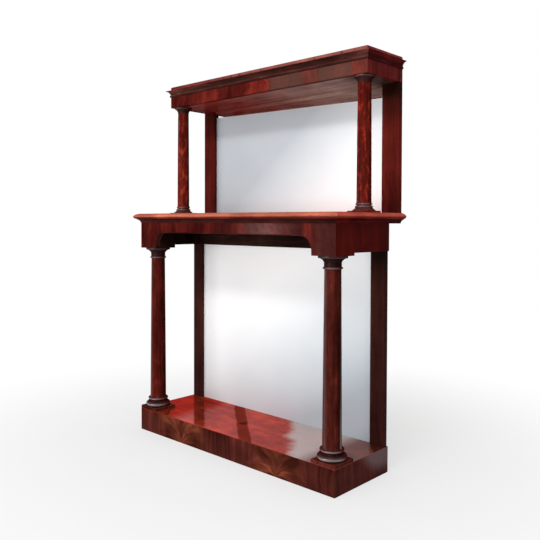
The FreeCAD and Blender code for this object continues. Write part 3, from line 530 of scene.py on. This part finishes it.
def frieze(name):
    finish = new_wood(name)
    bow = (finish.noise(finish.x * 7, finish.z * 7, 2.0) - 0.5) * 0.06
    tone = grain(finish, finish.x + bow, finish.z, 11.0, 60.0)
    tone = tone + finish.course(finish.x, *FRIEZE_LIFT) - 0.5
    mottle = finish.noise(finish.x * 40 + finish.z * 25, finish.z * 45, 8.0, 3.0) * 1.6 + 0.2
    # Painted reflection: a pale sheen over the front, most of all right of the middle.
    painted_sheen = finish.course(finish.x, *FRIEZE_PAINTED_SHEEN) * mottle
    front = finish.mix(painted_sheen, finish.ramp(tone, shades(*CRIMSON)), PAINTED_SHEEN_COLOUR)
    side = finish.ramp(grain(finish, finish.y, finish.z, 13.0), shades(*BLOOD, 0.5))
    # Painted shade: the faces inside the frieze are nearly black.
    shaded_inside = finish.ramp(grain(finish, finish.y, finish.z, 12.0), shades(*INSIDE))
    is_front = finish.rise(finish.y, FRONT_LINE + 0.0002, FRONT_LINE + 0.0008, 1.0, 0.0)
    colour = finish.mix(on_ends(finish), finish.mix(is_front, shaded_inside, front), side)
    dress(polish(finish, colour, pores(finish, finish.x + finish.y, finish.z, 11.0)), name)


for name in ("frieze_front_apron", "frieze_left_end", "frieze_right_end",
             "lower_left_abacus", "lower_right_abacus"):
    frieze(name)
veneer("apron_bead", DUSKY, "y", "x", 14.0)
# Painted shade: the blocks and the back rail under the table are nearly black.
veneer("frieze_column_blocks", INSIDE, "y", "x", 15.0)
veneer("frieze_back_rail", (0.020, 0.0080, 0.0065), "z", "x", 15.5)
print("frieze veneered, its front at", round(FRONT_LINE, 3))

# %% [markdown]
# ## The table top
# The lipping round the top is worked to a thumb and its grain runs lengthwise. Hands and cloths
# rub the upper part of the thumb to a bright orange, which also stands for painted light from
# above, and under it dirt, old polish and painted shade darken it. So its colour goes by height.
# The cove under it is as dark as the frieze.

# %%
TOP_LOW, TOP_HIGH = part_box("top_nosing_front")
UNDER_THUMB = (0.150, 0.0180, 0.0130)
COVE_SIDE = (0.056, 0.0030, 0.0028)


def lipping(name, across, along, seed, bright, dark):
    finish = new_wood(name)
    over, up = finish.axes[across], finish.axes[along]
    tone = grain(finish, over, up, seed)
    # Painted light and shade by height, with wear: a lit upper part and a shaded lower part.
    painted_light_line = finish.noise(finish.x * 9, finish.y * 9, 1.0) * 0.004
    low = finish.rise(finish.z + painted_light_line, TOP_LOW[2] + 0.007, TOP_LOW[2] + 0.013, 1.0, 0.0)
    colour = finish.mix(low, finish.ramp(tone, shades(*bright, 0.5)),
                        finish.ramp(tone, shades(*dark, 0.8)))
    dress(polish(finish, colour, pores(finish, over, up, seed)), name)


lipping("top_nosing_front", "y", "x", 16.0, SALMON, UNDER_THUMB)
lipping("top_nosing_left", "x", "y", 17.0, SALMON, UNDER_THUMB)
lipping("top_nosing_right", "x", "y", 18.0, (0.50, 0.0850, 0.0550), (0.150, 0.0140, 0.0110))
veneer("table_top_board", GLOWING, "y", "x", 19.0, spread=0.7)
for number, (side, colour, across, along) in enumerate((
        ("front", DUSKY, "y", "x"), ("back", DUSKY, "y", "x"),
        ("left", COVE_SIDE, "x", "y"), ("right", COVE_SIDE, "x", "y"))):
    veneer(f"top_frame_{side}", colour, across, along, 20.0 + number)
print("top veneered, lipping", round(float(TOP_HIGH[2] - TOP_LOW[2]), 3), "thick")

# %% [markdown]
# ## The upper frieze
# The upper frieze is pieced from leaves of veneer, with joints that show as sudden changes of
# tone. Parts of it have faded to a greyish brown. The joints are jumps in the course of the tone,
# and a little sway keeps them from standing as straight as ruled lines.

# %%
UPPER_LIFT = ((-0.51, 0.52), (-0.44, 0.48), (-0.40, 0.44), (-0.315, 0.44), (-0.300, 0.68),
              (-0.218, 0.62), (-0.205, 0.38), (-0.070, 0.42), (-0.055, 0.68), (0.065, 0.66),
              (0.070, 0.46), (0.23, 0.44), (0.235, 0.76), (0.300, 0.68), (0.31, 0.44),
              (0.445, 0.44), (0.45, 0.80), (0.51, 0.76))
UPPER_BLOOM = ((0.06, 0.0), (0.08, 0.65), (0.23, 0.65), (0.235, 0.4), (0.300, 0.4), (0.31, 0.7),
               (0.445, 0.7), (0.45, 0.3), (0.51, 0.3))
FADED_BROWN = (0.105, 0.051, 0.039)


def upper_front(name, seed):
    finish = new_wood(name)
    sway = (finish.noise(finish.x * 16, finish.z * 38, seed) - 0.5) * 0.05
    over = finish.x + sway
    curls = finish.noise(over * 34, finish.z * 20, seed + 3.0) - 0.5
    tone = grain(finish, over, finish.z, seed, 50.0)
    tone = tone + finish.course(over, *UPPER_LIFT) - 0.5 + curls * 0.35
    colour = finish.mix(finish.course(over, *UPPER_BLOOM), finish.ramp(tone, shades(*CRIMSON)),
                        FADED_BROWN)
    dress(polish(finish, colour, pores(finish, finish.x, finish.z, seed)), name)


upper_front("upper_frieze_front", 31.0)
veneer("upper_frieze_left", BRICK, "y", "z", 32.0)
veneer("upper_frieze_right", (0.140, 0.0150, 0.0140), "y", "z", 33.0)
JOINT_JUMP = 0.1
joints = [at for (_, tone), (at, next_tone) in zip(UPPER_LIFT, UPPER_LIFT[1:])
          if abs(next_tone - tone) > JOINT_JUMP]
print("upper frieze veneered in", len(joints) + 1, "leaves, with joints by", joints)

# %% [markdown]
# ## The cornice
# Light and shade are painted into the cornice: its hollows are painted dark as shade, and its
# proud members carry painted lines of highlight in red. Shade could be found from how deep a place
# lies, but one course over the height says the same for all three sides. The board on top is
# paler, most of all near the right-hand end.

# %%
CORNICE_LIGHT_AND_SHADE = ((1.4025, 0.26), (1.4085, 0.28), (1.4100, 0.9), (1.4135, 1.0), (1.4150, 0.35),
                  (1.4180, 0.30), (1.4215, 0.45), (1.4250, 0.75), (1.4300, 0.80))
BOARD_PALENESS = ((-0.51, 0.0), (-0.30, 0.3), (0.0, 0.8), (0.51, 1.0))
BOARD_SIDE = (0.5100, 0.5116)


def moulding(name, colour, along, seed):
    finish = new_wood(name)
    tone = grain(finish, finish.z, finish.axes[along], seed)
    # Painted light and shade: dark hollows, highlight lines on the proud members.
    painted_light_line = finish.course(finish.z, *CORNICE_LIGHT_AND_SHADE)
    painted = finish.mix(painted_light_line, PORE_AND_SHADE_DARK, finish.ramp(tone, shades(*colour)))
    dress(polish(finish, painted, pores(finish, finish.z, finish.x + finish.y, seed)), name)


def cornice_board(name, seed):
    finish = new_wood(name)
    tone = grain(finish, finish.y, finish.x, seed)
    front = finish.mix(finish.course(finish.x, *BOARD_PALENESS),
                       finish.ramp(tone, shades(0.150, 0.0150, 0.0140, 0.8)),
                       finish.ramp(tone, shades(0.260, 0.080, 0.064, 0.6)))
    side = finish.ramp(tone, shades(0.330, 0.050, 0.060, 0.6))
    colour = finish.mix(finish.rise(finish.x, *BOARD_SIDE), front, side)
    dress(polish(finish, colour, pores(finish, finish.y, finish.x, seed)), name)


moulding("cornice_front", (0.088, 0.0250, 0.0200), "x", 34.0)
moulding("cornice_left", (0.088, 0.0200, 0.0160), "y", 35.0)
moulding("cornice_right", (0.112, 0.0085, 0.0090), "y", 36.0)
cornice_board("cornice_top_board", 37.0)
print("cornice veneered, its mouldings up to", CORNICE_LIGHT_AND_SHADE[-1][0])

# %% [markdown]
# ## The soffit
# The soffit is the ceiling of the upper stage. It is red at its left end, and further right a grey
# painted sheen lies over it in streaks: a painted reflection. Its right-hand end lies behind the
# column and is painted dark as shadow. The quarter-round bead along the top of the glass is
# polished brightest, as it was rubbed at each cleaning of the mirror, and it carries the same
# painted sheen.

# %%
SOFFIT_PAINTED_SHEEN = ((-0.51, 0.0), (-0.20, 0.08), (0.10, 0.75), (0.30, 1.0), (0.51, 1.0))
SOFFIT_RED = (0.210, 0.022, 0.015)
SOFFIT_SHADOW = (0.024, 0.0090, 0.0070)


def soffit(name, seed, sheen_grey, coat):
    finish = new_wood(name)
    tone = grain(finish, finish.y, finish.x, seed, 60.0)
    # Painted reflection: a grey sheen growing towards the right.
    colour = finish.mix(finish.course(finish.x, *SOFFIT_PAINTED_SHEEN),
                        finish.ramp(tone, shades(*SOFFIT_RED, 0.6)),
                        finish.ramp(tone, shades(*sheen_grey, 0.5)))
    # Painted shadow: the right-hand end behind the column is darkened.
    colour = finish.mix(finish.rise(finish.x, 0.34, 0.46) * 0.9, colour, SOFFIT_SHADOW)
    shine = finish.course(finish.x, (-0.51, 0.04), (0.0, coat * 0.3), (0.08, coat), (0.24, coat),
                          (0.36, 0.04), (0.51, 0.04))
    dress(polish(finish, colour, pores(finish, finish.y, finish.x, seed), coat=shine), name)


soffit("soffit_board", 38.0, (0.320, 0.200, 0.172), 0.05)
soffit("soffit_bead", 39.0, (0.240, 0.150, 0.125), 0.9)
print("soffit veneered")

# %% [markdown]
# ## The shafts of the columns
# The shafts are covered with veneer bent round them, its grain upright. A flat board's figure
# would smear on a round surface, so their noise is taken in space: it is fine across and long
# along the axis. The upper shafts are of mottled wood, with orange flecks as long as a thumb. The
# lower ones keep a sheen along the left flank, where no hand reaches, and the right-hand one has a
# pale streak of bloom down its other flank.

# %%
LEAST_COAT = 0.02


def off_axis(finish, name, way):
    """How far a place is off the axis of a turned piece, the given way, in radii."""
    low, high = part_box(name)
    radius = float(high[0] - low[0]) / 2
    over = finish.x - float(low[0]) - radius
    back = finish.y - float(low[1]) - radius
    return (over * way[0] + back * way[1]) * (1 / radius)


def shaft(name, colour, seed, mottle, flank, *streak):
    """Veneer laid round a shaft with its grain upright. A streak is a course over the height."""
    finish = new_wood(name)
    x, y, z = finish.x, finish.y, finish.z
    aside = off_axis(finish, name, TO_FAR_RIGHT)
    stripes = finish.noise(x * 90, y * 90, z * 3.0 + seed, 3.0, 0.55)
    threads = finish.noise(x * 300, y * 300, z * 7.0 + seed)
    clouds = finish.noise(x * 22, y * 22, z * 8.0 + seed + 7.0, 3.0, 0.6)
    flecks = finish.noise(x * 75, y * 75, z * 26 + seed, 3.0, 0.6)
    tone = threads * 0.4 + stripes * 0.8 + clouds * 1.1 - 0.65
    # Painted shade: each shaft darkens towards its right flank, away from the light.
    tone = tone - finish.rise(aside, 0.1, 0.9, 0.0, 0.2)
    tone = tone + finish.rise(flecks, 0.50, 0.66) * mottle - mottle * 0.25
    dots = finish.noise(x * 1000, y * 1000, z * 60.0, 1.0)
    pits = finish.rise(dots, 0.58, 0.70)
    coat = finish.spot(aside, -0.75, 0.25, 0.9) * flank + LEAST_COAT
    if streak:
        coat = finish.spot(aside, 0.82, 0.16, 0.8) * finish.course(z, *streak) + coat
    dress(polish(finish, finish.ramp(tone, shades(*colour)), pits, coat=coat), name)


shaft("lower_left_column_shaft", (0.078, 0.0080, 0.0050), 41.0, 0.15, 0.5)
shaft("lower_right_column_shaft", (0.060, 0.0090, 0.0060), 42.0, 0.15, 0.5,
      (0.10, 1.0), (0.20, 0.8), (0.32, 0.3), (0.72, 0.2))
shaft("upper_left_column_shaft", (0.140, 0.0135, 0.0080), 43.0, 0.45, 0.05)
shaft("upper_right_column_shaft", (0.120, 0.0105, 0.0065), 44.0, 0.45, 0.05)
print("shafts veneered")

# %% [markdown]
# ## Posts and blocks
# The flat posts behind carry the mirrors. Their tops, under the boards above, are painted dark as
# shadow, most of all at the right. The blocks under the columns are kicked and dusted every day,
# so their arrises are worn, and their paler arrises are also a painted highlight.

# %%
POST_TOP_SHADOW = (0.010, 0.0045, 0.0030)
BLOCK_RED = (0.085, 0.014, 0.0100)


def post(name, colour, seed, spread, shadow_from, shadow_strength):
    finish = new_wood(name)
    painted = finish.ramp(grain(finish, finish.x, finish.z, seed), shades(*colour, spread))
    above = finish.z - shadow_from
    # Painted shadow: the top of each post darkens under the boards above.
    top_shadow = finish.rise(above, -0.10, -0.03) * 0.5 + finish.rise(above, -0.01, 0.03) * 0.42
    painted = finish.mix(top_shadow * shadow_strength, painted, POST_TOP_SHADOW)
    dress(polish(finish, painted, pores(finish, finish.x + finish.y, finish.z, seed)), name)


for side, number, shadow_strength in (("left", 45.0, 0.4), ("right", 46.0, 1.0)):
    post(f"lower_{side}_rear_post", SOMBRE, number, 0.6, 0.72, shadow_strength)
    post(f"upper_{side}_rear_post", BRICK, number + 2, 0.7, 1.3, shadow_strength)
    veneer(f"lower_{side}_plinth_block", BLOCK_RED, "y", "x", number + 4, wear_and_highlight=0.0025)
    veneer(f"upper_{side}_plinth_block", BRICK, "y", "x", number + 6, wear_and_highlight=0.0015)
print("posts and blocks veneered")

# %% [markdown]
# ## Ebonised turnings
# The bases and capitals of the columns were stained nearly black and polished on the lathe, so
# they shine more than the veneer does. They could be painted black outright, but the grain of the
# mahogany still shows through as fine rings. Their proud rings have been dusted for a hundred
# years. On their front the coat is thickest and a pale highlight is painted into the colour, and
# further round the proud rings turn dark red.

# %%
TO_FRONT = (0.45, -0.89)
FLANK_RED = (0.110, 0.0160, 0.0130)
PAINTED_HIGHLIGHT = (0.400, 0.300, 0.300)
LATHE_LINES = 0.000008


def ebonised(name, colour, seed, *shine):
    """Stained turning. Its shine is a course of numbers by height over its foot."""
    finish = Finish(name + "_ebonised", Coat_Roughness=0.16, Coat_IOR=1.5, Specular_IOR_Level=0.0)
    x, y, z = finish.x, finish.y, finish.z
    foot = float(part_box(name)[0][2])
    threads = finish.noise(x * 60, y * 60, z * 400 + seed)
    clouds = finish.noise(x * 30, y * 30, z * 30 + seed, 3.0, 0.6)
    relief = finish.noise(x * 8, y * 8, z * 500 + seed, 1.0)
    painted = finish.ramp(threads * 0.5 + clouds - 0.25, shades(*colour))
    front_facing = finish.rise(off_axis(finish, name, TO_FRONT), 0.25, 0.92)
    proud = finish.course(z - foot, *shine)
    # Painted highlight on the front of the proud rings, and dark red further round.
    painted = finish.mix(proud * (1 - front_facing) * 0.9, painted, FLANK_RED)
    painted = finish.mix(proud * front_facing * 0.40, painted, PAINTED_HIGHLIGHT)
    dress(finish.surface(Base_Color=painted, Roughness=clouds * 0.25 + 0.2,
                         Coat_Weight=(front_facing * 1.5 + 0.08) * proud,
                         Normal=finish.bump(relief, LATHE_LINES)), name)


ATTIC = ((0.0, 0.05), (0.005, 0.15), (0.008, 1.0), (0.011, 1.0), (0.014, 0.2), (0.0195, 0.05),
         (0.027, 0.05), (0.029, 0.3), (0.031, 1.0), (0.033, 0.9), (0.035, 0.2), (0.037, 0.1))
NECKED = ((0.0, 0.6), (0.0068, 0.6), (0.0072, 0.05), (0.034, 0.05), (0.036, 0.2), (0.043, 0.1))
BELLED = ((0.0, 0.1), (0.010, 0.1), (0.0105, 0.6), (0.0170, 0.6), (0.0175, 0.1), (0.0185, 0.6),
          (0.0263, 0.6))
PLAIN = ((0.0, 0.05), (0.017, 0.05), (0.019, 0.3), (0.025, 0.2))
for number, side in enumerate(("left", "right")):
    ebonised(f"lower_{side}_column_base", (0.040, 0.0080, 0.0070), 60.0 + number, *ATTIC)
    ebonised(f"lower_{side}_capital", (0.018, 0.0050, 0.0045), 62.0 + number, *NECKED)
    ebonised(f"upper_{side}_column_base", (0.080, 0.0110, 0.0080), 64.0 + number, *BELLED)
    ebonised(f"upper_{side}_capital", (0.030, 0.0085, 0.0060), 66.0 + number, *PLAIN)
print("turnings ebonised")

# %% [markdown]
# ## The mirrors
# Old plate is silvered with tin and quicksilver, which breaks up what it mirrors. A perfect mirror
# would be wrong here. So the glass mirrors only a little, and what it shows is painted into its
# colour: a painted reflection of a pale room, a soft sheet of tone that fades across the glass
# from bluish grey to nearly white. Along the top edge of the upper glass it is still clear, and
# mirrors the soffit. The mottle of the silvering fades out where the sheet is nearly white,
# because there it would be cut off to flat patches.

# %%
REFLECTION_TONES = [(0.0, (0.08, 0.09, 0.11)), (0.36, (0.380, 0.420, 0.460)),
          (0.52, (0.560, 0.610, 0.650)), (0.71, (0.740, 0.775, 0.800)),
          (0.85, (0.880, 0.900, 0.915)), (1.0, (0.985, 0.992, 0.995))]
CLEAR_SILVER = (0.86, 0.82, 0.78)
MIRRORING = 0.12


def mirror(name, level, by_x, by_z, least_tone, clear_from=None):
    """Silvering with a painted reflection, whose tone changes by so much to a metre, across and
    upwards.
    """
    finish = Finish(name + "_silvering", Specular_IOR_Level=0.2)
    tone = (finish.x * by_x + finish.z * by_z + level).most(least_tone)
    fog = finish.noise(finish.x * 9, finish.y * 9, finish.z * 9)
    breaking = finish.rise(tone, 0.70, 0.92, 0.05, 0.0)
    colour = finish.ramp((tone + (fog - 0.5) * breaking).least(1.0), REFLECTION_TONES)
    metal, rough = MIRRORING, fog * 0.2 + 0.3
    if clear_from is not None:
        clear = finish.rise(finish.z + finish.x * 0.025, clear_from, clear_from + 0.006)
        metal, rough = clear * (1 - MIRRORING) + MIRRORING, rough * (1 - clear) + 0.04
        colour = finish.mix(clear, colour, CLEAR_SILVER)
    dress(finish.surface(Base_Color=colour, Roughness=rough, Metallic=metal), name)


mirror("lower_mirror_plate", 0.370, -0.60, 0.98, 0.39)
mirror("upper_mirror_plate", 1.735, 0.85, -1.05, 0.47, 1.317)
print("mirrors silvered")

# %% [markdown]
# ## Pine and steel behind
# What faces the wall was never polished. It is sawn pine, browned by air and dust, most where the
# air gets at it. Its boards come from several trees, so each has a tone and a figure of its own.
# The backboards are held by countersunk screws with a bloom of rust.

# %%
PINE = (0.250, 0.145, 0.070)
PINE_DUST = (0.075, 0.050, 0.034)
JOINT = (0.020, 0.012, 0.008)
BOARDS_TO_A_METRE = 6.5
SAW_MARKS = 0.0002
RUST_DEPTH = 0.00005


def pine(name, across, along, seed):
    """Sawn pine in boards."""
    finish = Finish(name + "_pine", Specular_IOR_Level=0.2)
    over, up = finish.axes[across], finish.axes[along]
    boards = over * BOARDS_TO_A_METRE
    number = boards.math("FLOOR")
    joint = finish.rise(abs(boards.math("FRACT") - 0.5), 0.485, 0.495)
    tone = grain(finish, over, up, number * 3.7 + seed, 60.0, 5.0)
    tone = tone + (finish.noise(number * 5.3, seed) - 0.5) * 0.7
    colour = finish.ramp(tone, shades(*PINE, 0.5))
    dust = finish.noise(finish.x * 6, finish.y * 6, finish.z * 6, 4.0, 0.6)
    colour = finish.mix(finish.rise(dust, 0.35, 0.75) * 0.5, colour, PINE_DUST)
    colour = finish.mix(joint * 0.8, colour, JOINT)
    relief = finish.noise(over * 500, up * 20, seed) - joint
    dress(finish.surface(Base_Color=colour, Roughness=dust * 0.2 + 0.6,
                         Normal=finish.bump(relief, SAW_MARKS)), name)


def steel(name):
    finish = Finish(name + "_steel", Metallic=1.0)
    spots = finish.noise(finish.x * 900, finish.y * 900, finish.z * 900, 3.0, 0.6)
    colour = finish.ramp(spots, shades(0.24, 0.20, 0.17, 0.5))
    dress(finish.surface(Base_Color=colour, Roughness=spots * 0.4 + 0.25,
                         Normal=finish.bump(spots, RUST_DEPTH)), name)


for number, (name, across, along) in enumerate((
        ("base_back_rail", "z", "x"), ("base_bearers", "x", "y"), ("frieze_bearers", "x", "y"),
        ("cornice_back", "z", "x"), ("upper_frieze_back", "z", "x"),
        ("lower_mirror_backboard", "x", "z"), ("upper_mirror_backboard", "x", "z"))):
    pine(name, across, along, 70.0 + number)
veneer("glue_blocks", INSIDE, "x", "z", 79.0)
steel("wood_screws")
bare = [name for name, node in nodes.items() if not node.data.materials[:]]
print("sub-parts without a finish:", bare)

# %% [markdown]
# ## The studio
# The table stands on a pale floor that keeps its soft shadow and turns white further off. A broad
# lamp stands in front, a little left, as a window would. A narrow one hangs high in front, on the
# camera's side, so that the polished turnings show a highlight and upright walls show none. White
# comes from what the camera and the gloss see, and the room itself lights the table with less.

# %%
FLOOR_SIZE = 60.0
FLOOR_GREY = (0.82, 0.82, 0.82)
ROOM_LIGHT = 0.45
WHITE = (1.0, 1.0, 1.0)
RAYS_SHOWN_WHITE = ("Is Camera Ray", "Is Glossy Ray", "Is Transmission Ray")


def make_floor():
    """A pale floor that keeps the soft shadow and turns white further off."""
    bpy.ops.object.select_all(action="DESELECT")
    bpy.ops.mesh.primitive_plane_add(size=FLOOR_SIZE, location=(0, 0, 0))
    floor = bpy.context.object
    floor.name = "floor"
    floor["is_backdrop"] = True
    finish = Finish("pale_floor", Roughness=0.9, Base_Color=FLOOR_GREY)
    seen, mirrored, through = finish.node("ShaderNodeLightPath", {}, [], RAYS_SHOWN_WHITE)
    away = (finish.x * finish.x + finish.y * finish.y) ** 0.5
    whiteness = finish.rise(away, 0.4, 1.8, 0.6, 1.0)
    glow = finish.node("ShaderNodeEmission", {}, {"Color": WHITE, "Strength": 1.0})
    paper = Value(finish, finish.shader.outputs[0])
    share = (seen * whiteness).most(mirrored).most(through)
    shown = finish.node("ShaderNodeMixShader", {}, [share, paper, glow])
    finish.feed(finish.tree.nodes["Material Output"].inputs["Surface"], shown)
    floor.data.materials.append(finish.material)


def make_lamp(name, place, aim, size, power):
    data = bpy.data.lights.new(name, "AREA")
    data.shape = "RECTANGLE"
    data.size, data.size_y = size
    data.energy = power
    lamp = bpy.data.objects.new(name, data)
    bpy.context.scene.collection.objects.link(lamp)
    lamp.location = place
    lamp.rotation_euler = (Vector(aim) - Vector(place)).to_track_quat("-Z", "Y").to_euler()


def make_world():
    """A white backdrop, which gloss shows too, and soft light from all round."""
    world = bpy.data.worlds.new("studio")
    bpy.context.scene.world = world
    world.use_nodes = True
    room = Graph(world.node_tree)
    light = room.tree.nodes["Background"]
    seen, mirrored, through = room.node("ShaderNodeLightPath", {}, [], RAYS_SHOWN_WHITE)
    room.feed(light.inputs["Color"], WHITE)
    room.feed(light.inputs["Strength"], seen.most(mirrored).most(through).most(ROOM_LIGHT))


make_floor()
make_world()
make_lamp("window", (-0.6, -4.2, 0.9), (0, 0, 0.7), (2.6, 1.6), 76)
make_lamp("softbox", (1.01, -2.28, 2.74), (0.2, -0.05, 0.6), (1.9, 0.3), 48)
bpy.context.scene.view_settings.view_transform = "Standard"
print("studio ready, room light", ROOM_LIGHT)

# %% [markdown]
# The dressed table must be as large as the frame. Both boxes are written down to be compared.

# %%
new_low, new_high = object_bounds()
pairs = zip((*cad_low, *cad_high), (*new_low, *new_high))
print("grown by", [round(abs(b - a), 6) for a, b in pairs])
